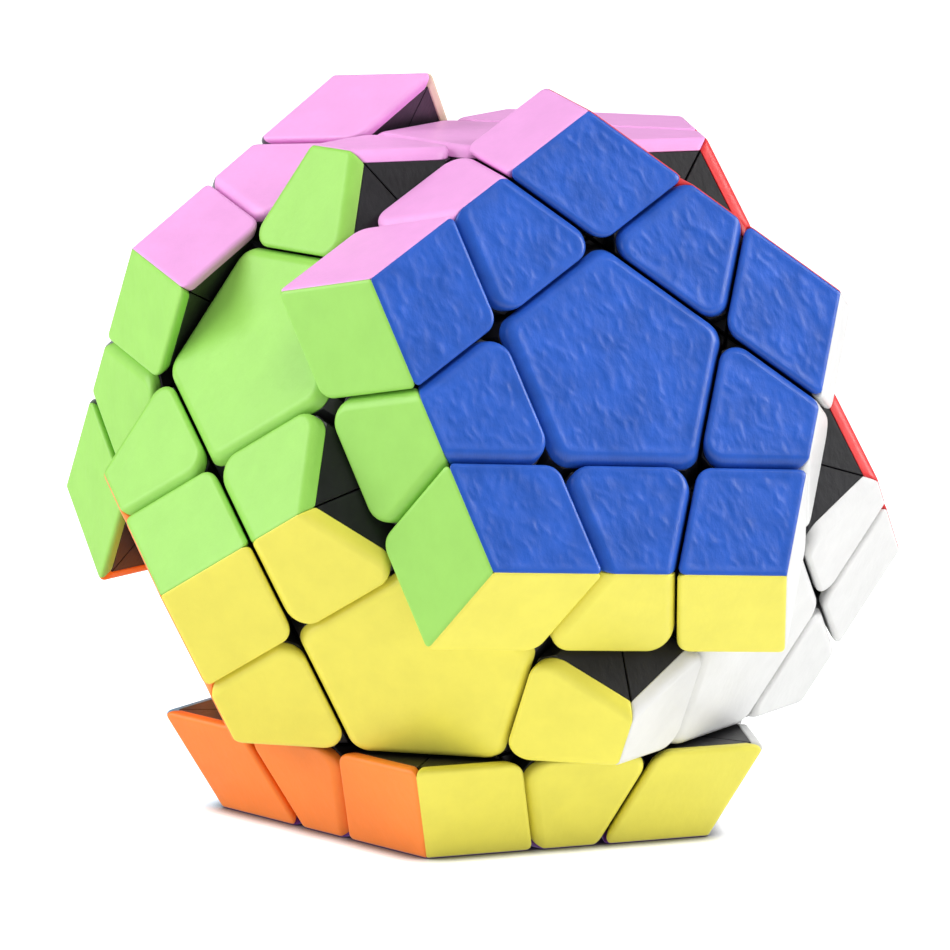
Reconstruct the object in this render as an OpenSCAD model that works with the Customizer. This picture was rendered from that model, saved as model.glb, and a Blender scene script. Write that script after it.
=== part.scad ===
// Dodecahedron twisty puzzle: twelve turning faces on a sprung core.
// Each face layer is cut off by a surface of revolution about its own axis:
// a flat plane on the outside, a cone inside it, and a wider cone in the
// shell where the feet of the corners and edges hook under their neighbours.
// Three layers that share no piece (blue, grey and purple) stand part-turned.

/* [Puzzle] */
// Length of one edge of the dodecahedron
edge_len = 33.5; // [30:0.5:38]
// Length of a corner piece along the edge, as a share of the edge
corner_share = 0.39; // [0.37:0.005:0.41]
// Half of the gap between two turning pieces
half_gap = 0.15; // [0.1:0.01:0.2]

/* [Turned layers] */
// Turn of the blue layer about its own outward axis
blue_turn = 32; // [-36:0.5:72]
// Turn of the grey layer about its own outward axis
grey_turn = -34.5; // [-72:0.5:72]
// Turn of the purple layer about its own outward axis
purple_turn = -36.5; // [-72:0.5:72]

/* [Coloured tiles] */
// Thickness of a coloured tile
tile_t = 1.3; // [1.1:0.1:2]
// Rounding of a tile where three or more pieces meet
tile_round = 2.3; // [1.5:0.1:3]
// Half of the gap between two tiles across an edge of the puzzle
mitre_gap = 0.05; // [0.03:0.01:0.1]
// Width of the parting slit between the black shells of one piece
slit_w = 0.16; // [0.1:0.02:0.3]
// Wall thickness of the hollow black bodies
wall = 1.3; // [1.1:0.1:1.8]

/* [Core] */
// Radius of the ball of the core
ball_r = 9; // [7:0.5:10]
// Radius of the twelve posts of the core
post_r = 3.4; // [3:0.1:3.8]
// Radius of the screw shank
shank_r = 1.25; // [1:0.05:1.5]
// Radius of the screw head
head_r = 2.7; // [2.2:0.1:3]
// Radius of the wire of the tension springs
wire_r = 0.3; // [0.2:0.05:0.4]
// Turns of a tension spring
spring_turns = 4; // [3:1:6]

/* [Hidden] */

// Proportions of a regular dodecahedron
r_in = 1.113516 * edge_len;          // centre to face
r_face = 0.688191 * edge_len;        // centre of a face to its side
sb = 0.894427;                       // sine of the angle between two face axes
cb = 0.447214;                       // its cosine
cut_line = r_face - corner_share * edge_len * sin(72);  // cut line on the face
cut_d = sb * cut_line + cb * r_in;   // centre to the cut plane
plane_r = 1.075 * edge_len;          // flat cut outside this radius
foot_r = 0.597 * edge_len;           // top of the feet
inner_r = 0.463 * edge_len;          // underside of the feet
hollow_r = 0.70 * edge_len;          // bottom of the hollows
cone_a = acos(cut_d / plane_r);      // half angle of the main cone
foot_a = cone_a + 4.7;               // half angle of the foot cone
body_top = r_in - tile_t - 0.02;
low_z = 0.25 * edge_len;
hair = 0.012;
out_r = 1.2 * edge_len;
$fn = 96;

// Faces: their names are their colours, and their axes point outward
PINK = 0; PURPLE = 1; BLUE = 2; RED = 3; CREAM = 4; GREY = 5; LIME = 6;
LIGHT_BLUE = 7; ORANGE = 8; YELLOW = 9; WHITE = 10; GREEN = 11;
function ax(az, s) = [cos(az) * sb, sin(az) * sb, s * cb];
N = [[0, 0, 1], [0, 0, -1], ax(-90, 1), ax(-18, 1), ax(54, 1), ax(126, 1), ax(198, 1),
     ax(90, -1), ax(162, -1), ax(-126, -1), ax(-54, -1), ax(18, -1)];
LAYERS = [BLUE, GREY, PURPLE];
FIXED = [PINK, RED, CREAM, LIME, LIGHT_BLUE, ORANGE, YELLOW, WHITE, GREEN];
function turn_of(f) = f == BLUE ? blue_turn : f == GREY ? grey_turn : purple_turn;

PINK_C = [0.96, 0.62, 0.86]; RED_C = [0.90, 0.13, 0.12]; CREAM_C = [0.93, 0.88, 0.70];
LIME_C = [0.55, 0.87, 0.30]; LIGHT_BLUE_C = [0.40, 0.72, 0.93]; ORANGE_C = [0.97, 0.44, 0.16];
YELLOW_C = [0.95, 0.86, 0.22]; WHITE_C = [0.93, 0.93, 0.94]; GREEN_C = [0.07, 0.47, 0.22];
BLUE_C = [0.09, 0.22, 0.72]; GREY_C = [0.52, 0.54, 0.57]; PURPLE_C = [0.44, 0.20, 0.66];
BLACK_C = [0.08, 0.08, 0.09];

function unit(v) = v / norm(v);
function adj(i, j) = i != j && abs(N[i] * N[j] - cb) < 0.01;
function hand(i, j, k) = cross(N[i], N[j]) * N[k];
// Rotation whose third column is n and whose first column leans towards u
function frame(n, u) = let (x = unit(u - (u * n) * n), y = cross(n, x))
  [[x[0], y[0], n[0]], [x[1], y[1], n[1]], [x[2], y[2], n[2]]];
function tr(m) = [for (r = [0:2]) [for (c = [0:2]) m[c][r]]];
function as4(m) = [[m[0][0], m[0][1], m[0][2], 0], [m[1][0], m[1][1], m[1][2], 0],
                   [m[2][0], m[2][1], m[2][2], 0], [0, 0, 0, 1]];
function from_to(i, j, k, l) = frame(N[k], N[l]) * tr(frame(N[i], N[j]));

// All edges and corners, the corners in right-handed order
EDGES = [for (i = [0:11]) for (j = [i:11]) if (adj(i, j)) [i, j]];
CORNERS = [for (i = [0:11]) for (j = [0:11]) for (k = [0:11])
  if (i < j && i < k && adj(i, j) && adj(j, k) && adj(k, i) && hand(i, j, k) > 0) [i, j, k]];
function has(p, f) = len([for (q = p) if (q == f) 1]) > 0;
function loose(p) = len([for (f = LAYERS) if (has(p, f)) 1]) == 0;
function edges_of(f) = [for (e = EDGES) if (f < 0 ? loose(e) : has(e, f)) e];
function corners_of(f) = [for (c = CORNERS) if (f < 0 ? loose(c) : has(c, f)) c];

// Stands the puzzle on its purple face, and turns a layer (f = -1: the core)
module in_layer(f) {
  translate([0, 0, r_in])
    if (f < 0) children(); else rotate(a = turn_of(f), v = N[f]) children();
}

// ---- Cut surfaces -------------------------------------------------------
function cone_r(z, a, d) = (z * sin(a) - d) / cos(a);
module stand(i) multmatrix(as4(frame(N[i], [0.31, 0.17, 0.23]))) children();
// What turns with face i outside the feet: a cone, then the flat cut
module outer(i, d, top, out) stand(i) rotate_extrude()
  polygon([[0, low_z], [cone_r(low_z, cone_a, d), low_z],
           [cone_r(cut_d + d, cone_a, d), cut_d + d],
           [out, cut_d + d], [out, top], [0, top]]);
module layer_in(i, w = 0) outer(i, half_gap + w, body_top - w, out_r);
module layer_out(i, w = 0) outer(i, -half_gap - w, 1.9 * edge_len, 1.7 * edge_len);
// What turns with face i among the feet: a wider cone
module foot(i, d) stand(i) rotate_extrude()
  polygon([[0, low_z - 1], [cone_r(low_z - 1, foot_a, d), low_z - 1],
           [cone_r(foot_r + 2, foot_a, d), foot_r + 2], [0, foot_r + 2]]);

// ---- Black bodies, each made once in its home place -----------------------
// Where four pieces meet, each of them is cut back, which leaves a small well.
// The corner lies where the cuts of faces j and k cross; p and q say on which
// side of each cut (1 outside it, -1 inside it) the body lies.
well_z = sqrt(pow(plane_r, 2) - pow(1.1757 * cut_d, 2)) + 0.055 * edge_len;
blunt_m = 0.24 * tile_round;
sharp_m = min(0.65 * tile_round, 1.15 * wall);
module well(j, k, p, q, m) {
  a = cut_d + p * half_gap;
  b = cut_d + q * half_gap;
  u = unit(p * N[j] + q * N[k]);
  d = unit(cross(N[j], N[k]));
  translate(((a - cb * b) * N[j] + (b - cb * a) * N[k]) / (sb * sb))
    multmatrix(as4(tr([u, cross(d, u), d]))) translate([-2, -3, well_z]) cube([2 + m, 6, edge_len]);
}
// The offsets of neighbouring cuts differ by a hair, so that no four of their
// surfaces meet in one point.
module corner_home() {
  v = unit(N[PINK] + N[BLUE] + N[RED]);
  difference() {
    union() {
      difference() {
        intersection() { layer_in(PINK); layer_in(BLUE, hair); layer_in(RED, 2 * hair); }
        difference() {
          intersection() { layer_in(PINK, wall); layer_in(BLUE, wall + hair); layer_in(RED, wall + 2 * hair); }
          sphere(r = hollow_r);
        }
      }
      intersection() {
        foot(PINK, half_gap); foot(BLUE, half_gap + hair); foot(RED, half_gap + 2 * hair);
        sphere(r = foot_r - half_gap);
      }
    }
    sphere(r = inner_r);
    multmatrix(as4(frame(v, N[PINK] + N[BLUE]))) translate([0, 0, 0.85 * edge_len])
      linear_extrude(height = edge_len)
        union() for (a = [0, 120, 240]) rotate(a) translate([0, -slit_w / 2]) square([edge_len, slit_w]);
    well(BLUE, RED, 1, 1, blunt_m);
    well(RED, PINK, 1, 1, blunt_m);
    well(PINK, BLUE, 1, 1, blunt_m);
  }
}
module edge_home() {
  v = unit(N[PINK] + N[BLUE]);
  difference() {
    union() {
      difference() {
        intersection() { layer_in(PINK); layer_in(BLUE, hair); }
        layer_out(RED);
        layer_out(LIME, hair);
        intersection() { foot(RED, -half_gap); sphere(r = foot_r + half_gap); }
        intersection() { foot(LIME, -half_gap - hair); sphere(r = foot_r + half_gap); }
        difference() {
          intersection() { layer_in(PINK, wall); layer_in(BLUE, wall + hair); }
          layer_out(RED, wall);
          layer_out(LIME, wall + hair);
          sphere(r = hollow_r);
        }
      }
      difference() {
        intersection() { foot(PINK, half_gap); foot(BLUE, half_gap + hair); sphere(r = foot_r - half_gap); }
        foot(RED, -half_gap);
        foot(LIME, -half_gap - hair);
      }
    }
    sphere(r = inner_r);
    multmatrix(as4(frame(v, N[PINK] - N[BLUE]))) translate([-slit_w / 2, -edge_len, 0.85 * edge_len])
      cube([slit_w, 2 * edge_len, edge_len]);
    well(BLUE, RED, 1, -1, sharp_m);
    well(LIME, BLUE, -1, 1, sharp_m);
    well(RED, PINK, -1, 1, sharp_m);
    well(PINK, LIME, 1, -1, sharp_m);
  }
}
RING = [BLUE, RED, CREAM, GREY, LIME];
module centre_home() {
  difference() {
    union() {
      difference() {
        layer_in(PINK);
        for (k = [0:4]) layer_out(RING[k], k * hair);
        sphere(r = foot_r + half_gap);
        difference() {
          layer_in(PINK, wall);
          for (k = [0:4]) layer_out(RING[k], wall + k * hair);
          cylinder(r = head_r + 0.8 + wall, h = 2 * edge_len);
          sphere(r = hollow_r);
        }
      }
      translate([0, 0, inner_r]) cylinder(r = post_r + 0.45, h = foot_r + 1 - inner_r);
    }
    translate([0, 0, foot_r + 0.4]) cylinder(r = head_r + 0.8, h = edge_len);
    cylinder(r = shank_r + 0.45, h = edge_len);
    for (k = [0:4]) well(RING[k], RING[(k + 1) % 5], -1, -1, blunt_m);
  }
}
module corner_bodies(f) color(BLACK_C) in_layer(f) for (c = corners_of(f))
  multmatrix(as4(from_to(PINK, BLUE, c[0], c[1]))) corner_home();
module edge_bodies(f) color(BLACK_C) in_layer(f) for (e = edges_of(f))
  multmatrix(as4(from_to(PINK, BLUE, e[0], e[1]))) edge_home();
module centre_bases(f) color(BLACK_C) in_layer(f) for (i = (f < 0 ? FIXED : [f]))
  multmatrix(as4(from_to(PINK, BLUE, i, nb(i, 2)))) centre_home();
// One neighbour of a face
function nb(i, n = 0) = [for (j = [0:11]) if (adj(i, j)) j][n];

// ---- Tiles ----------------------------------------------------------------
// Point where the lines x.u(a) = p and x.u(b) = q cross, u(a) at angle a
function meet(a, p, b, q) = let (s = sin(b - a))
  [(p * sin(b) - q * sin(a)) / s, (q * cos(a) - p * cos(b)) / s];
// A convex outline with its vertex i rounded to radius r[i] by n steps
function rounded(v, r, n) = let (m = len(v)) [for (i = [0:m - 1])
  let (p = v[i], a = unit(v[(i + m - 1) % m] - p), b = unit(v[(i + 1) % m] - p),
       h = acos(a * b) / 2, c = p + unit(a + b) * r[i] / sin(h),
       s = p + a * r[i] / tan(h) - c, w = 180 - 2 * h)
  each (r[i] == 0 ? [p] : [for (k = [0:n]) let (t = w * k / n)
    [c[0] + s[0] * cos(t) - s[1] * sin(t), c[1] + s[0] * sin(t) + s[1] * cos(t)]])];
// Lines of a tile at depth t below the face: a cut plane or a mitre plane
function cut_at(t, d) = cut_line + t / 2 + d / sb;
function mitre_at(t) = r_face * (1 - t / r_in) - mitre_gap;
function corner_outline(t) = let (c = cut_at(t, half_gap), m = mitre_at(t))
  rounded([meet(0, c, 72, c), meet(0, m, 72, c), meet(0, m, 72, m), meet(0, c, 72, m)],
          [tile_round, 0, 0, 0], 4);
function edge_outline(t) = let (c = cut_at(t, half_gap), e = cut_at(t, -half_gap), m = mitre_at(t))
  rounded([meet(0, c, -72, e), meet(0, m, -72, e), meet(0, m, 72, e), meet(0, c, 72, e)],
          [tile_round, 0, 0, tile_round], 4);
function centre_outline(t) = let (e = cut_at(t, -half_gap))
  rounded([for (k = [0:4]) meet(72 * k, e, 72 * k + 72, e)], [for (k = [0:4]) tile_round], 6);
module slab(top, low) {
  m = len(top);
  polyhedron(
    points = concat([for (p = low) [p[0], p[1], -tile_t]], [for (p = top) [p[0], p[1], 0]]),
    faces = concat([[for (i = [0:m - 1]) i]], [[for (i = [0:m - 1]) 2 * m - 1 - i]],
      [for (i = [0:m - 1]) let (j = (i + 1) % m) [i, i + m, j + m]],
      [for (i = [0:m - 1]) let (j = (i + 1) % m) [i, j + m, j]]));
}
module corner_tile() slab(corner_outline(0), corner_outline(tile_t));
module edge_tile() slab(edge_outline(0), edge_outline(tile_t));
module on_face(i, j) multmatrix(as4(frame(N[i], N[j]))) translate([0, 0, r_in]) children();
// The tiles of colour i that ride on layer f
module tiles(i, f) in_layer(f) {
  for (e = edges_of(f)) if (has(e, i)) on_face(i, e[0] == i ? e[1] : e[0]) edge_tile();
  for (c = corners_of(f)) if (has(c, i))
    on_face(i, c[0] == i ? c[1] : c[1] == i ? c[2] : c[0]) corner_tile();
}
// Centre cap: a rounded pentagon with a round spigot that plugs its base
module centre_cap(i, f) in_layer(f) on_face(i, nb(i)) union() {
  translate([0, 0, -tile_t]) linear_extrude(height = tile_t) polygon(centre_outline(0));
  translate([0, 0, -tile_t - 3]) cylinder(r = head_r + 0.7, h = 3.5);
}

// ---- Core -----------------------------------------------------------------
module each_axis() translate([0, 0, r_in]) for (i = [0:11])
  multmatrix(as4(frame(N[i], N[nb(i)]))) children();
module core_spider() color(BLACK_C) difference() {
  union() {
    translate([0, 0, r_in]) sphere(r = ball_r);
    each_axis() cylinder(r = post_r, h = inner_r - 0.25);
  }
  each_axis() translate([0, 0, ball_r * 0.75]) cylinder(r = shank_r + 0.02, h = edge_len);
}
screw_top = 0.8 * edge_len;
module core_screws() color([0.62, 0.63, 0.65]) each_axis() difference() {
  union() {
    translate([0, 0, ball_r * 0.8]) cylinder(r = shank_r, h = screw_top - ball_r * 0.8);
    translate([0, 0, screw_top - 1.8]) cylinder(r = head_r, h = 1.8);
  }
  translate([-0.35, -1.5, screw_top - 1.1]) cube([0.7, 3, 2]);
  translate([-1.5, -0.35, screw_top - 1.1]) cube([3, 0.7, 2]);
}
washer_z = foot_r + 0.4 + 0.12;
module spring_washers() color([0.75, 0.72, 0.62]) each_axis() translate([0, 0, washer_z]) difference() {
  cylinder(r = head_r + 0.4, h = 0.5);
  translate([0, 0, -1]) cylinder(r = shank_r + 0.2, h = 3);
}
spring_z0 = washer_z + 0.5 + wire_r + 0.05;
spring_z1 = screw_top - 1.8 - wire_r - 0.05;
spring_r = (shank_r + head_r) / 2 + 0.2;
module spring(n, s) {
  m = spring_turns * n;
  polyhedron(
    points = [for (k = [0:m]) for (q = [0:s - 1])
      let (t = 360 * k / n, w = 360 * q / s, r = spring_r + wire_r * cos(w))
      [r * cos(t), r * sin(t), spring_z0 + (spring_z1 - spring_z0) * k / m + wire_r * sin(w)]],
    faces = concat(
      [[for (q = [0:s - 1]) q]], [[for (q = [0:s - 1]) m * s + s - 1 - q]],
      [for (k = [0:m - 1]) for (q = [0:s - 1]) let (a = k * s + q, b = k * s + (q + 1) % s) [a, a + s, b + s]],
      [for (k = [0:m - 1]) for (q = [0:s - 1]) let (a = k * s + q, b = k * s + (q + 1) % s) [a, b + s, b]]));
}
module tension_springs() color([0.70, 0.71, 0.73]) each_axis() spring(10, 4);

// ---- The part that never turns --------------------------------------------
module fixed_centre_bases() centre_bases(-1);
module fixed_edge_bodies() edge_bodies(-1);
module fixed_corner_bodies() corner_bodies(-1);
module pink_centre_cap() color(PINK_C) centre_cap(PINK, -1);
module red_centre_cap() color(RED_C) centre_cap(RED, -1);
module cream_centre_cap() color(CREAM_C) centre_cap(CREAM, -1);
module lime_centre_cap() color(LIME_C) centre_cap(LIME, -1);
module light_blue_centre_cap() color(LIGHT_BLUE_C) centre_cap(LIGHT_BLUE, -1);
module orange_centre_cap() color(ORANGE_C) centre_cap(ORANGE, -1);
module yellow_centre_cap() color(YELLOW_C) centre_cap(YELLOW, -1);
module white_centre_cap() color(WHITE_C) centre_cap(WHITE, -1);
module green_centre_cap() color(GREEN_C) centre_cap(GREEN, -1);
module pink_fixed_tiles() color(PINK_C) tiles(PINK, -1);
module red_fixed_tiles() color(RED_C) tiles(RED, -1);
module cream_fixed_tiles() color(CREAM_C) tiles(CREAM, -1);
module lime_fixed_tiles() color(LIME_C) tiles(LIME, -1);
module light_blue_fixed_tiles() color(LIGHT_BLUE_C) tiles(LIGHT_BLUE, -1);
module orange_fixed_tiles() color(ORANGE_C) tiles(ORANGE, -1);
module yellow_fixed_tiles() color(YELLOW_C) tiles(YELLOW, -1);
module white_fixed_tiles() color(WHITE_C) tiles(WHITE, -1);
module green_fixed_tiles() color(GREEN_C) tiles(GREEN, -1);

// ---- Blue layer -----------------------------------------------------------
module blue_layer_centre_base() centre_bases(BLUE);
module blue_layer_edge_bodies() edge_bodies(BLUE);
module blue_layer_corner_bodies() corner_bodies(BLUE);
module blue_centre_cap() color(BLUE_C) centre_cap(BLUE, BLUE);
module blue_face_tiles() color(BLUE_C) tiles(BLUE, BLUE);
module blue_layer_pink_tiles() color(PINK_C) tiles(PINK, BLUE);
module blue_layer_red_tiles() color(RED_C) tiles(RED, BLUE);
module blue_layer_white_tiles() color(WHITE_C) tiles(WHITE, BLUE);
module blue_layer_yellow_tiles() color(YELLOW_C) tiles(YELLOW, BLUE);
module blue_layer_lime_tiles() color(LIME_C) tiles(LIME, BLUE);

// ---- Grey layer -----------------------------------------------------------
module grey_layer_centre_base() centre_bases(GREY);
module grey_layer_edge_bodies() edge_bodies(GREY);
module grey_layer_corner_bodies() corner_bodies(GREY);
module grey_centre_cap() color(GREY_C) centre_cap(GREY, GREY);
module grey_face_tiles() color(GREY_C) tiles(GREY, GREY);
module grey_layer_pink_tiles() color(PINK_C) tiles(PINK, GREY);
module grey_layer_cream_tiles() color(CREAM_C) tiles(CREAM, GREY);
module grey_layer_light_blue_tiles() color(LIGHT_BLUE_C) tiles(LIGHT_BLUE, GREY);
module grey_layer_orange_tiles() color(ORANGE_C) tiles(ORANGE, GREY);
module grey_layer_lime_tiles() color(LIME_C) tiles(LIME, GREY);

// ---- Purple layer ---------------------------------------------------------
module purple_layer_centre_base() centre_bases(PURPLE);
module purple_layer_edge_bodies() edge_bodies(PURPLE);
module purple_layer_corner_bodies() corner_bodies(PURPLE);
module purple_centre_cap() color(PURPLE_C) centre_cap(PURPLE, PURPLE);
module purple_face_tiles() color(PURPLE_C) tiles(PURPLE, PURPLE);
module purple_layer_light_blue_tiles() color(LIGHT_BLUE_C) tiles(LIGHT_BLUE, PURPLE);
module purple_layer_orange_tiles() color(ORANGE_C) tiles(ORANGE, PURPLE);
module purple_layer_yellow_tiles() color(YELLOW_C) tiles(YELLOW, PURPLE);
module purple_layer_white_tiles() color(WHITE_C) tiles(WHITE, PURPLE);
module purple_layer_green_tiles() color(GREEN_C) tiles(GREEN, PURPLE);

core_spider();
core_screws();
tension_springs();
spring_washers();
fixed_centre_bases();
fixed_edge_bodies();
fixed_corner_bodies();
pink_centre_cap();
red_centre_cap();
cream_centre_cap();
lime_centre_cap();
light_blue_centre_cap();
orange_centre_cap();
yellow_centre_cap();
white_centre_cap();
green_centre_cap();
pink_fixed_tiles();
red_fixed_tiles();
cream_fixed_tiles();
lime_fixed_tiles();
light_blue_fixed_tiles();
orange_fixed_tiles();
yellow_fixed_tiles();
white_fixed_tiles();
green_fixed_tiles();
blue_layer_centre_base();
blue_layer_edge_bodies();
blue_layer_corner_bodies();
blue_centre_cap();
blue_face_tiles();
blue_layer_pink_tiles();
blue_layer_red_tiles();
blue_layer_white_tiles();
blue_layer_yellow_tiles();
blue_layer_lime_tiles();
grey_layer_centre_base();
grey_layer_edge_bodies();
grey_layer_corner_bodies();
grey_centre_cap();
grey_face_tiles();
grey_layer_pink_tiles();
grey_layer_cream_tiles();
grey_layer_light_blue_tiles();
grey_layer_orange_tiles();
grey_layer_lime_tiles();
purple_layer_centre_base();
purple_layer_edge_bodies();
purple_layer_corner_bodies();
purple_centre_cap();
purple_face_tiles();
purple_layer_light_blue_tiles();
purple_layer_orange_tiles();
purple_layer_yellow_tiles();
purple_layer_white_tiles();
purple_layer_green_tiles();
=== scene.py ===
import math

import bpy
import numpy as np
from mathutils import Matrix, Vector
from mathutils.geometry import delaunay_2d_cdt


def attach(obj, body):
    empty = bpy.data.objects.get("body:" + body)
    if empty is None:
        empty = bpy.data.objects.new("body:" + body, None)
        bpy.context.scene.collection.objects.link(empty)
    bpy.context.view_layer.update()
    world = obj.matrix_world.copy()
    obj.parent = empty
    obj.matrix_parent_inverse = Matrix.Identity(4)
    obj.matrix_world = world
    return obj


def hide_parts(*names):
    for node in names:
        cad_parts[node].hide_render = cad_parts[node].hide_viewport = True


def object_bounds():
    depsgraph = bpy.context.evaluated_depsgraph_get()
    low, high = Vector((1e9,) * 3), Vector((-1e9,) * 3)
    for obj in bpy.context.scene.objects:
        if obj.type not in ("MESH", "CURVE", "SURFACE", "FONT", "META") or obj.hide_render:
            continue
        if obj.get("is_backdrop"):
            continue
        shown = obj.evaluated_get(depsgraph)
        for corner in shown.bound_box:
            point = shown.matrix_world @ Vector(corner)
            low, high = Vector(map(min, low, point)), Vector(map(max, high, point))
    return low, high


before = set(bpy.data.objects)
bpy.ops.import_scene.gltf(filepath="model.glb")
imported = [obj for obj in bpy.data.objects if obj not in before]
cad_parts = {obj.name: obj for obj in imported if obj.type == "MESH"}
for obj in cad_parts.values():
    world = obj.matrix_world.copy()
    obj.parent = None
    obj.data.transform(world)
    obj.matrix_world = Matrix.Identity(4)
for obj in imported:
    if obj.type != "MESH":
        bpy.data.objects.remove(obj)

CAD_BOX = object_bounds()
MM = 0.001

# ---------------------------------------------------------------- proportions
A = 33.5                                  # edge of the dodecahedron, mm
SHARE = 0.39                              # corner length as a share of the edge
GAP = 0.15                                # half gap between turning pieces
TILE = 1.3                                # tile thickness
ROUND = 2.3                               # in-plane rounding where pieces meet
MITRE = 0.004                             # half gap between tiles across an edge
RIM = 0.80                                # radius of the rims along the cuts
DRAFT = 4.0                              # lean of the side walls, degrees
FOOT = 1.2                                # depth where the side walls stand upright
EDGE = 0.8                                # radius of the edges of the puzzle, shared by two tiles
TURN = {"blue": 32.0, "grey": -34.5, "purple": -36.5}

R_IN = 1.113516 * A
R_FACE = 0.688191 * A
SB, CB = 2 / math.sqrt(5), 1 / math.sqrt(5)
CUT = R_FACE - SHARE * A * math.sin(math.radians(72))


def ax(az, s):
    az = math.radians(az)
    return np.array([math.cos(az) * SB, math.sin(az) * SB, s * CB])


NORMAL = {
    "pink": np.array([0, 0, 1.0]), "purple": np.array([0, 0, -1.0]),
    "blue": ax(-90, 1), "red": ax(-18, 1), "cream": ax(54, 1), "grey": ax(126, 1), "lime": ax(198, 1),
    "light_blue": ax(90, -1), "orange": ax(162, -1), "yellow": ax(-126, -1), "white": ax(-54, -1),
    "green": ax(18, -1),
}
NAMES = list(NORMAL)


def adj(i, j):
    return i != j and abs(float(NORMAL[i] @ NORMAL[j]) - CB) < 0.01


EDGES = [(i, j) for x, i in enumerate(NAMES) for j in NAMES[x + 1:] if adj(i, j)]
CORNERS = []
for x, i in enumerate(NAMES):
    for j in NAMES[x + 1:]:
        for k in NAMES[x + 1:]:
            if adj(i, j) and adj(j, k) and adj(k, i) and float(np.cross(NORMAL[i], NORMAL[j]) @ NORMAL[k]) > 0:
                if (i, j, k) not in CORNERS:
                    CORNERS.append((i, j, k))


def basis(n, u):
    x = u - (u @ n) * n
    x /= np.linalg.norm(x)
    return np.stack([x, np.cross(n, x), n], axis=1)


def spin(axis, deg):
    t = math.radians(deg)
    k = axis / np.linalg.norm(axis)
    K = np.array([[0, -k[2], k[1]], [k[2], 0, -k[0]], [-k[1], k[0], 0]])
    return np.eye(3) + math.sin(t) * K + (1 - math.cos(t)) * K @ K


LAYER_ROT = {f: spin(NORMAL[f], d) for f, d in TURN.items()}
LAYER_ROT["fixed"] = np.eye(3)


def layer_of(piece):
    for f in TURN:
        if f in piece:
            return f
    return "fixed"


# ------------------------------------------------------------------- outlines
def meet(a, p, b, q):
    a, b = math.radians(a), math.radians(b)
    s = math.sin(b - a)
    return np.array([(p * math.sin(b) - q * math.sin(a)) / s, (q * math.cos(a) - p * math.cos(b)) / s])


def rounded(verts, radii, steps, side_cuts):
    """Convex outline, each vertex rounded, each straight side cut into even pieces."""
    m = len(verts)
    arcs = []
    for i in range(m):
        p = verts[i]
        a = verts[(i - 1) % m] - p
        b = verts[(i + 1) % m] - p
        a, b = a / np.linalg.norm(a), b / np.linalg.norm(b)
        h = math.acos(max(-1, min(1, float(a @ b)))) / 2
        r = radii[i]
        c = p + (a + b) / np.linalg.norm(a + b) * r / math.sin(h)
        s = p + a * r / math.tan(h) - c
        w = math.pi - 2 * h
        arc = []
        for k in range(steps[i] + 1):
            t = w * k / steps[i]
            arc.append(c + np.array([s[0] * math.cos(t) - s[1] * math.sin(t), s[0] * math.sin(t) + s[1] * math.cos(t)]))
        arcs.append(arc)
    out = []
    for i in range(m):
        out += arcs[i]
        p, q = arcs[i][-1], arcs[(i + 1) % m][0]
        n = side_cuts[i]
        out += [p + (q - p) * k / n for k in range(1, n)]
    return np.array(out)


def run_out(depth):
    """How far a side wall has come out at a depth below the face: a small arc, then a leaning wall."""
    lean = math.radians(90 - DRAFT)
    drop = RIM * (1 - math.cos(lean))
    if depth <= drop:
        return RIM * math.sin(math.acos(1 - depth / RIM))
    return RIM * math.sin(lean) + (min(depth, FOOT) - drop) * math.tan(math.radians(DRAFT))


HALF = math.radians(63.435) / 2
EDGE_DROP = EDGE * (1 - math.cos(HALF))


def edge_inset(depth):
    """How far the rounded edge of the puzzle stays inside the mitre plane at a depth."""
    if depth >= EDGE_DROP:
        return 0.0
    return (EDGE_DROP - depth) * R_FACE / R_IN + EDGE * (math.sin(HALF) - math.sin(math.acos(1 - depth / EDGE)))


def outline(kind, depth, cuts):
    ic, im = run_out(FOOT) - run_out(depth), edge_inset(depth)
    c = CUT + depth / 2 + GAP / SB + ic          # own side lies outside the cut line
    e = CUT + depth / 2 - GAP / SB - ic          # own side lies inside the cut line
    m = R_FACE * (1 - depth / R_IN) - MITRE - im
    big = max(ROUND - ic, 0.5)
    tip, tiny = 0.48, 0.3
    if kind == "corner":
        v = [meet(0, c, 72, c), meet(0, m, 72, c), meet(0, m, 72, m), meet(0, c, 72, m)]
        return rounded(v, [big, tip, tiny, tip], [9, 3, 3, 3], cuts)
    if kind == "edge":
        v = [meet(0, c, -72, e), meet(0, m, -72, e), meet(0, m, 72, e), meet(0, c, 72, e)]
        return rounded(v, [big, tip, tip, big], [9, 3, 3, 9], cuts)
    v = [meet(72 * k, e, 72 * k + 72, e) for k in range(5)]
    return rounded(v, [big] * 5, [10] * 5, cuts)


SIDE_CUTS = {"corner": [18, 21, 21, 18], "edge": [18, 16, 18, 9], "centre": [18] * 5}
DEPTHS = [0.0, 0.002, 0.0078, 0.031, 0.069, EDGE_DROP, 0.187, 0.265, 0.353, 0.449, 0.553, 0.661, 0.744, 0.95, FOOT, TILE]
STEP = 0.28                               # spacing of the grid that carries the grain


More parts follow.
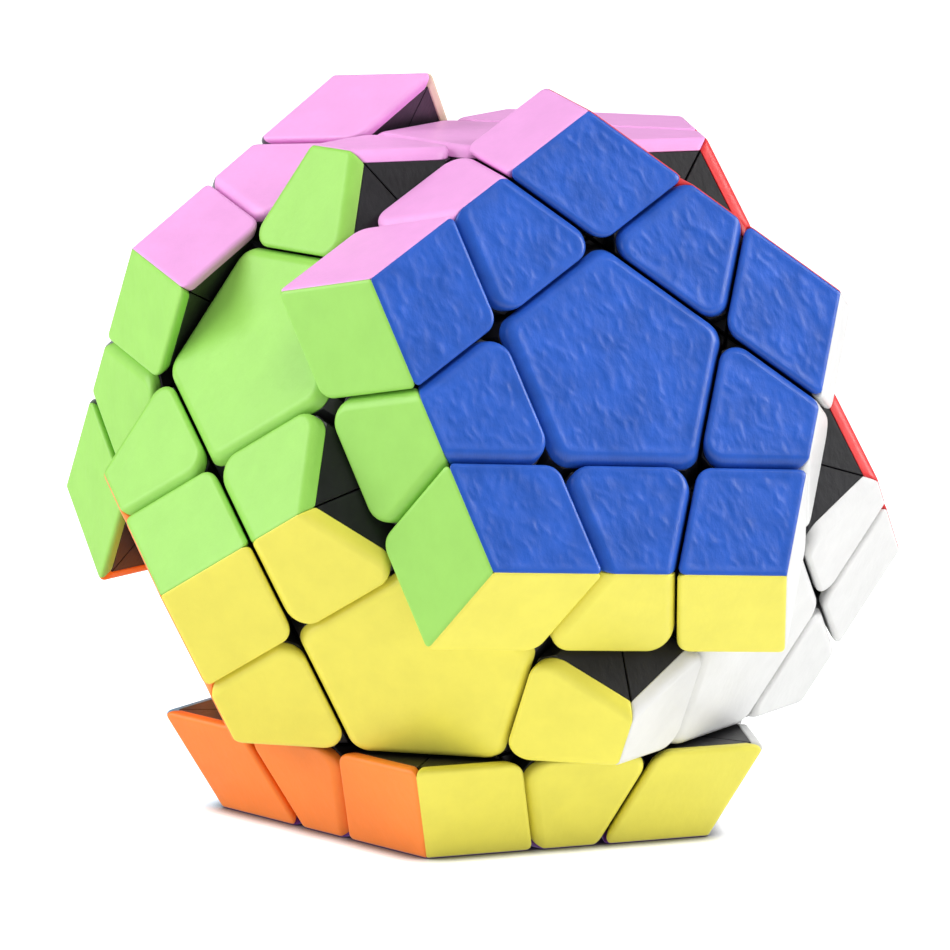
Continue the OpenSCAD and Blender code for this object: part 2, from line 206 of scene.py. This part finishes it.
def template(kind):
    """One tile's vertices and faces: rings down the rim, a fine grid on top, a plain underside."""
    rings = [outline(kind, d, SIDE_CUTS[kind]) for d in DEPTHS]
    n = len(rings[0])
    verts = [np.column_stack([r, np.full(n, -d)]) for r, d in zip(rings, DEPTHS)]
    faces = []
    for k in range(len(rings) - 1):
        for i in range(n):
            j = (i + 1) % n
            faces.append((k * n + i, (k + 1) * n + i, (k + 1) * n + j, k * n + j))
    # underside: one centre point fan
    under = rings[-1]
    mid = under.mean(axis=0)
    base = len(rings) * n
    verts.append(np.array([[mid[0], mid[1], -DEPTHS[-1]]]))
    last = (len(rings) - 1) * n
    for i in range(n):
        faces.append((last + (i + 1) % n, last + i, base))
    # top: hexagonal grid inside the top ring
    top = rings[0]
    lo, hi = top.min(axis=0), top.max(axis=0)
    pts = []
    row = 0
    y = lo[1]
    while y < hi[1]:
        x = lo[0] + (STEP / 2 if row % 2 else 0)
        while x < hi[0]:
            pts.append((x, y))
            x += STEP
        y += STEP * 0.866
        row += 1
    pts = np.array(pts)
    dist = edge_distance(pts, top)
    pts = pts[dist > STEP * 0.55]
    cdt_v = [Vector(p) for p in top] + [Vector(p) for p in pts]
    loop = [(i, (i + 1) % n) for i in range(n)]
    out_v, _, out_f, orig_v, _, _ = delaunay_2d_cdt(cdt_v, loop, [], 1, 1e-6)
    start = base + 1
    verts.append(np.column_stack([pts, np.zeros(len(pts))]))
    remap = {}
    for k, o in enumerate(orig_v):
        idx = o[0]
        remap[k] = idx if idx < n else start + (idx - n)
    for f in out_f:
        f = [remap[k] for k in f]
        a, b, c = f[:3]
        faces.append(tuple(f))
    V = np.vstack(verts)
    # all top faces must look up
    fixed = []
    for f in faces:
        if len(f) == 3 and base not in f:
            a, b, c = V[f[0]], V[f[1]], V[f[2]]
            if np.cross(b - a, c - a)[2] < 0:
                f = f[::-1]
        fixed.append(f)
    depth_in = np.zeros(len(V))
    depth_in[start:] = edge_distance(pts, top)
    on_top = np.zeros(len(V), bool)
    on_top[start:] = True
    return V, fixed, depth_in, on_top


def edge_distance(pts, poly):
    """Signed distance to a convex outline, positive inside."""
    d = np.full(len(pts), 1e9)
    m = len(poly)
    for i in range(m):
        p, q = poly[i], poly[(i + 1) % m]
        t = q - p
        n = np.array([-t[1], t[0]])
        ln = np.linalg.norm(n)
        if ln < 1e-9:
            continue
        d = np.minimum(d, (pts - p) @ (n / ln))
    return d


# ---------------------------------------------------------------------- grain
RNG = np.random.default_rng(20)
GRAD = RNG.uniform(0, 2 * math.pi, (256, 256))


def gradient_noise(x, y):
    xi, yi = np.floor(x).astype(int), np.floor(y).astype(int)
    xf, yf = x - xi, y - yi
    u = xf * xf * xf * (xf * (xf * 6 - 15) + 10)
    v = yf * yf * yf * (yf * (yf * 6 - 15) + 10)

    def dot(ix, iy, dx, dy):
        g = GRAD[ix % 256, iy % 256]
        return np.cos(g) * dx + np.sin(g) * dy
    a = dot(xi, yi, xf, yf)
    b = dot(xi + 1, yi, xf - 1, yf)
    c = dot(xi, yi + 1, xf, yf - 1)
    d = dot(xi + 1, yi + 1, xf - 1, yf - 1)
    return (a + (b - a) * u) + ((c + (d - c) * u) - (a + (b - a) * u)) * v


def grain(s, t, seed):
    """Depth of the moulded leather-like grain at s along and t across its lie: 0 at the skin, about 1 below it."""
    rs = np.random.default_rng(seed)
    ox, oy = rs.uniform(0, 200, 2)
    warp = gradient_noise(s / 2.6 + ox + 40, t / 2.6 + oy) * 1.0
    n1 = gradient_noise(s / 3.6 + ox, (t + warp) / 1.15 + oy)
    n2 = gradient_noise(s / 2.2 + ox + 91, (t + warp) / 0.9 + oy + 17)
    n3 = gradient_noise(s / 3.9 + ox, t / 2.2 + oy + 61)
    n4 = gradient_noise(s / 1.5 + ox + 31, t / 1.3 + oy + 75)
    thin = np.clip(1 - np.abs(n1) * 4.2, 0, 1) ** 1.3
    patch = np.clip(0.25 + n4 * 2.6, 0.0, 1)
    h = 0.85 * thin * patch + 0.30 * n2 + 0.42 * n3
    return np.clip(0.62 - h, 0, 1.4)


# ------------------------------------------------------------------ materials
COLOURS = {                                # linear rgb
    "pink": (0.88, 0.402, 0.79), "red": (0.72, 0.038, 0.04), "cream": (0.82, 0.72, 0.48),
    "lime": (0.315, 0.66, 0.107), "light_blue": (0.16, 0.50, 0.83), "orange": (0.96, 0.25, 0.030),
    "yellow": (0.86, 0.785, 0.105), "white": (0.725, 0.725, 0.72), "green": (0.012, 0.22, 0.06),
    "blue": (0.021, 0.099, 0.49), "grey": (0.25, 0.26, 0.28), "purple": (0.17, 0.045, 0.36),
}


def new_material(name):
    mat = bpy.data.materials.new(name)
    mat.use_nodes = True
    nt = mat.node_tree
    bsdf = next(n for n in nt.nodes if n.type == "BSDF_PRINCIPLED")
    return mat, nt, bsdf


def noise_node(nt, scale, detail=3.0, rough=0.55, vec=None):
    n = nt.nodes.new("ShaderNodeTexNoise")
    n.inputs["Scale"].default_value = scale
    n.inputs["Detail"].default_value = detail
    n.inputs["Roughness"].default_value = rough
    if vec is not None:
        nt.links.new(vec, n.inputs["Vector"])
    return n


def ramp_node(nt, src, stops):
    r = nt.nodes.new("ShaderNodeValToRGB")
    while len(r.color_ramp.elements) < len(stops):
        r.color_ramp.elements.new(0.5)
    for e, (pos, col) in zip(r.color_ramp.elements, stops):
        e.position = pos
        e.color = (*col, 1) if len(col) == 3 else col
    nt.links.new(src, r.inputs["Fac"])
    return r


def map_node(nt, src, lo, hi):
    m = nt.nodes.new("ShaderNodeMapRange")
    m.inputs["To Min"].default_value = lo
    m.inputs["To Max"].default_value = hi
    nt.links.new(src, m.inputs["Value"])
    return m


def plastic(name, rgb, rough=(0.34, 0.50), bump=0.3, tone=0.05, spec=0.4):
    mat, nt, bsdf = new_material(name)
    co = nt.nodes.new("ShaderNodeTexCoord").outputs["Object"]
    lie = nt.nodes.new("ShaderNodeMapping")
    lie.inputs["Rotation"].default_value = (0.0, math.radians(26), math.radians(-24))
    lie.inputs["Scale"].default_value = (1.0, 1.0, 0.42)
    nt.links.new(co, lie.inputs["Vector"])
    slow = noise_node(nt, 260.0, 4.0, 0.6, co)
    streak = noise_node(nt, 1700.0, 3.0, 0.55, lie.outputs["Vector"])
    fine = noise_node(nt, 4200.0, 3.0, 0.6, co)
    lo = tuple(max(0.0, c * (1 - tone)) for c in rgb)
    hi = tuple(min(1.0, c * (1 + tone) + 0.002) for c in rgb)
    col = ramp_node(nt, slow.outputs["Fac"], [(0.32, lo), (0.68, hi)])
    nt.links.new(col.outputs["Color"], bsdf.inputs["Base Color"])
    rr = map_node(nt, streak.outputs["Fac"], *rough)
    nt.links.new(rr.outputs["Result"], bsdf.inputs["Roughness"])
    b1 = nt.nodes.new("ShaderNodeBump")
    b1.inputs["Strength"].default_value = min(1.0, bump * 2)
    b1.inputs["Distance"].default_value = 0.00010
    nt.links.new(streak.outputs["Fac"], b1.inputs["Height"])
    b2 = nt.nodes.new("ShaderNodeBump")
    b2.inputs["Strength"].default_value = bump
    b2.inputs["Distance"].default_value = 0.00003
    nt.links.new(fine.outputs["Fac"], b2.inputs["Height"])
    nt.links.new(b1.outputs["Normal"], b2.inputs["Normal"])
    nt.links.new(b2.outputs["Normal"], bsdf.inputs["Normal"])
    bsdf.inputs["IOR"].default_value = 1.5
    bsdf.inputs["Specular IOR Level"].default_value = spec
    return mat


def metal(name, rgb, rough):
    mat, nt, bsdf = new_material(name)
    co = nt.nodes.new("ShaderNodeTexCoord").outputs["Object"]
    fine = noise_node(nt, 2400.0, 4.0, 0.6, co)
    col = ramp_node(nt, fine.outputs["Fac"], [(0.3, tuple(c * 0.88 for c in rgb)), (0.7, rgb)])
    nt.links.new(col.outputs["Color"], bsdf.inputs["Base Color"])
    rr = map_node(nt, fine.outputs["Fac"], rough - 0.07, rough + 0.08)
    nt.links.new(rr.outputs["Result"], bsdf.inputs["Roughness"])
    bsdf.inputs["Metallic"].default_value = 1.0
    return mat


MAT = {c: plastic(c + "_plastic", rgb, rough=(0.30, 0.46), bump=0.13, tone=0.03) for c, rgb in COLOURS.items()}
MAT["blue"] = plastic("blue_plastic_grained", COLOURS["blue"], rough=(0.24, 0.38), bump=0.16, tone=0.13)
MAT["black"] = plastic("black_body_plastic", (0.011, 0.0105, 0.0125), rough=(0.30, 0.46), bump=0.14, tone=0.25, spec=0.45)
MAT["core"] = plastic("black_core_plastic", (0.015, 0.015, 0.017), rough=(0.4, 0.55), bump=0.3, tone=0.2, spec=0.35)
MAT["screw"] = metal("screw_metal", (0.62, 0.63, 0.65), 0.3)
MAT["spring"] = metal("spring_metal", (0.72, 0.72, 0.74), 0.22)
MAT["washer"] = metal("washer_metal", (0.68, 0.66, 0.60), 0.35)

# ---------------------------------------------------------------------- tiles
TEMPLATES = {k: template(k) for k in ("corner", "edge", "centre")}
DEPTH_OF_GRAIN = {c: 0.015 for c in COLOURS}
DEPTH_OF_GRAIN["blue"] = 0.105
LIE = np.array([0.30, -0.06, -0.95])      # the grain leans the same way on every face


def add_tile(store, kind, colour, rot, seed):
    V, F, inside, on_top = TEMPLATES[kind]
    P = V.copy()
    fade = np.clip(inside / 0.7, 0, 1)
    fade = fade * fade * (3 - 2 * fade)
    lie = rot.T @ LIE
    lie = lie[:2] / max(np.hypot(lie[0], lie[1]), 0.05)
    along, across = P[:, 0] * lie[0] + P[:, 1] * lie[1], P[:, 1] * lie[0] - P[:, 0] * lie[1]
    P[on_top, 2] -= (DEPTH_OF_GRAIN[colour] * grain(along, across, seed) * fade)[on_top]
    P[:, 2] += R_IN
    P = P @ rot.T
    P[:, 2] += R_IN
    base = sum(len(v) for v in store[0])
    store[0].append(P * MM)
    store[1].extend([tuple(i + base for i in f) for f in F])


def make_mesh(name, store, mat):
    me = bpy.data.meshes.new(name)
    me.from_pydata(np.vstack(store[0]).tolist(), [], store[1])
    me.validate()
    me.polygons.foreach_set("use_smooth", [True] * len(me.polygons))
    me.update()
    ob = bpy.data.objects.new(name, me)
    bpy.context.scene.collection.objects.link(ob)
    me.materials.append(mat)
    return ob


def place(face, toward, layer):
    return LAYER_ROT[layer] @ basis(NORMAL[face], NORMAL[toward])


jobs = {}
for piece in EDGES:
    layer = layer_of(piece)
    for face in piece:
        other = piece[1] if piece[0] == face else piece[0]
        jobs.setdefault((layer, face), []).append(("edge", place(face, other, layer)))
for piece in CORNERS:
    layer = layer_of(piece)
    for n, face in enumerate(piece):
        jobs.setdefault((layer, face), []).append(("corner", place(face, piece[(n + 1) % 3], layer)))

seed = 1
for (layer, face), tiles in sorted(jobs.items()):
    if layer == "fixed":
        node = face + "_fixed_tiles"
    elif layer == face:
        node = face + "_face_tiles"
    else:
        node = layer + "_layer_" + face + "_tiles"
    store = ([], [])
    for kind, rot in tiles:
        add_tile(store, kind, face, rot, seed)
        seed += 1
    ob = make_mesh(node + "_shell", store, MAT[face])
    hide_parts(node)
    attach(ob, "core" if layer == "fixed" else layer + "_layer")

for face in NAMES:
    layer = face if face in TURN else "fixed"
    other = [f for f in NAMES if adj(face, f)][2]
    store = ([], [])
    add_tile(store, "centre", face, place(face, other, layer), seed)
    seed += 1
    node = face + "_centre_cap"
    ob = make_mesh(node + "_shell", store, MAT[face])
    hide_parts(node)
    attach(ob, "core" if layer == "fixed" else layer + "_layer")

# ----------------------------------------------------------- carried CAD nodes
for name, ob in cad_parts.items():
    if name.endswith("bodies") or name.endswith("bases") or name.endswith("base"):
        key = "black"
    elif name == "core_spider":
        key = "core"
    elif name == "core_screws":
        key = "screw"
    elif name == "tension_springs":
        key = "spring"
    elif name == "spring_washers":
        key = "washer"
    else:
        continue
    for s in ob.material_slots:
        s.material = MAT[key]
    if not ob.material_slots:
        ob.data.materials.append(MAT[key])
    if key == "black":
        w = ob.modifiers.new("weld", "WELD")
        w.merge_threshold = 0.000002
        b = ob.modifiers.new("rim", "BEVEL")
        b.width = 0.00008
        b.segments = 1
        b.limit_method = "ANGLE"
        b.angle_limit = math.radians(40)
        b.use_clamp_overlap = False
        b.harden_normals = False

# ------------------------------------------------------------- floor and light
def stage_floor():
    me = bpy.data.meshes.new("floor")
    s = 3.0
    me.from_pydata([(-s, -s, 0), (s, -s, 0), (s, s, 0), (-s, s, 0)], [], [(0, 1, 2, 3)])
    ob = bpy.data.objects.new("floor", me)
    bpy.context.scene.collection.objects.link(ob)
    mat, nt, bsdf = new_material("floor_white_painted_contact_shadow")
    bsdf.inputs["Roughness"].default_value = 0.6
    bsdf.inputs["Emission Color"].default_value = (1, 1, 1, 1)
    painted_contact_shadow = nt.nodes.new("ShaderNodeAmbientOcclusion")     # painted contact shadow: ambient occlusion darkens the floor's colour and its glow right under the puzzle's edge
    painted_contact_shadow.samples = 16
    painted_contact_shadow.inputs["Color"].default_value = (0.8, 0.8, 0.8, 1)
    painted_contact_shadow.inputs["Distance"].default_value = 0.0035
    # the floor's colour is multiplied by ambient occlusion: painted shadow under the puzzle's edge
    nt.links.new(painted_contact_shadow.outputs["Color"], bsdf.inputs["Base Color"])
    painted_shadow_ramp = nt.nodes.new("ShaderNodeMapRange")
    painted_shadow_ramp.inputs["From Min"].default_value = 0.35
    painted_shadow_ramp.inputs["From Max"].default_value = 0.92
    nt.links.new(painted_contact_shadow.outputs["AO"], painted_shadow_ramp.inputs["Value"])
    seen = nt.nodes.new("ShaderNodeLightPath")
    glow = nt.nodes.new("ShaderNodeMix")
    glow.inputs[2].default_value = 0.30
    # the camera-seen glow fades with ambient occlusion: painted shadow under the puzzle's edge
    nt.links.new(painted_shadow_ramp.outputs["Result"], glow.inputs[3])
    nt.links.new(seen.outputs["Is Camera Ray"], glow.inputs[0])
    nt.links.new(glow.outputs[0], bsdf.inputs["Emission Strength"])
    me.materials.append(mat)
    ob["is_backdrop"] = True


stage_floor()

# Camera: fitted to the object's own corners
CAM_AZ, CAM_EL, CAM_DIST, CAM_ROLL = -114.215, 9.391, 24.347 * A, 1.025
CAM_F, CAM_CX, CAM_CY = 7460.2, 485.8, 471.6
az, el = math.radians(CAM_AZ), math.radians(CAM_EL)
back = Vector((math.cos(az) * math.cos(el), math.sin(az) * math.cos(el), math.sin(el)))
right = (-back).cross(Vector((0, 0, 1))).normalized()
up = right.cross(-back).normalized()
r = math.radians(CAM_ROLL)
right2 = math.cos(r) * right + math.sin(r) * up
up2 = -math.sin(r) * right + math.cos(r) * up
rot = Matrix((right2, up2, back)).transposed().to_4x4()
cam_data = bpy.data.cameras.new("camera")
cam = bpy.data.objects.new("camera", cam_data)
bpy.context.scene.collection.objects.link(cam)
cam.matrix_world = Matrix.Translation(Vector((0, 0, R_IN * MM)) + back * (CAM_DIST * MM)) @ rot
cam_data.sensor_width = 36.0
cam_data.lens = CAM_F / 950 * 36.0
cam_data.shift_x = -(CAM_CX - 475) / 950
cam_data.shift_y = (CAM_CY - 475) / 950
cam_data.clip_start = 0.05
cam_data.clip_end = 20
bpy.context.scene.camera = cam


def area(name, pos, target, size, watts, colour=(1, 1, 1)):
    d = bpy.data.lights.new(name, "AREA")
    d.shape = "RECTANGLE"
    d.size, d.size_y = size
    d.energy = watts
    d.color = colour
    o = bpy.data.objects.new(name, d)
    bpy.context.scene.collection.objects.link(o)
    o.location = pos
    o.rotation_euler = (Vector(target) - Vector(pos)).to_track_quat("-Z", "Y").to_euler()
    return o


C = (0, 0, 0.037)


def around(az_deg, el_deg, dist):
    a_, e_ = math.radians(az_deg), math.radians(el_deg)
    return (dist * math.cos(a_) * math.cos(e_), dist * math.sin(a_) * math.cos(e_), C[2] + dist * math.sin(e_))


area("key", around(165, 22, 0.55), C, (0.42, 0.42), 2.4)
area("top", around(-85, 70, 0.6), C, (0.35, 0.35), 1.85).visible_glossy = False
area("right", around(-35, 38, 0.7), C, (0.25, 0.25), 0.75)
area("low", around(-60, 1, 0.8), C, (0.4, 0.07), 0.85).visible_glossy = False
area("rim", around(-17, 26, 0.7), C, (0.26, 0.3), 2.3)

world = bpy.data.worlds.new("world")
bpy.context.scene.world = world
world.use_nodes = True
bg = next(n for n in world.node_tree.nodes if n.type == "BACKGROUND")
bg.inputs["Color"].default_value = (1, 1, 1, 1)
wt = world.node_tree
path = wt.nodes.new("ShaderNodeLightPath")
power = wt.nodes.new("ShaderNodeMapRange")
power.inputs["To Min"].default_value = 0.20
power.inputs["To Max"].default_value = 1.0
wt.links.new(path.outputs["Is Camera Ray"], power.inputs["Value"])
wt.links.new(power.outputs["Result"], bg.inputs["Strength"])
bpy.context.scene.view_settings.view_transform = "Standard"


def plain(v):
    if hasattr(v, "__len__"):
        return [plain(x) for x in v]
    return float(v)


{"cad": plain(CAD_BOX), "visual": plain(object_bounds())}
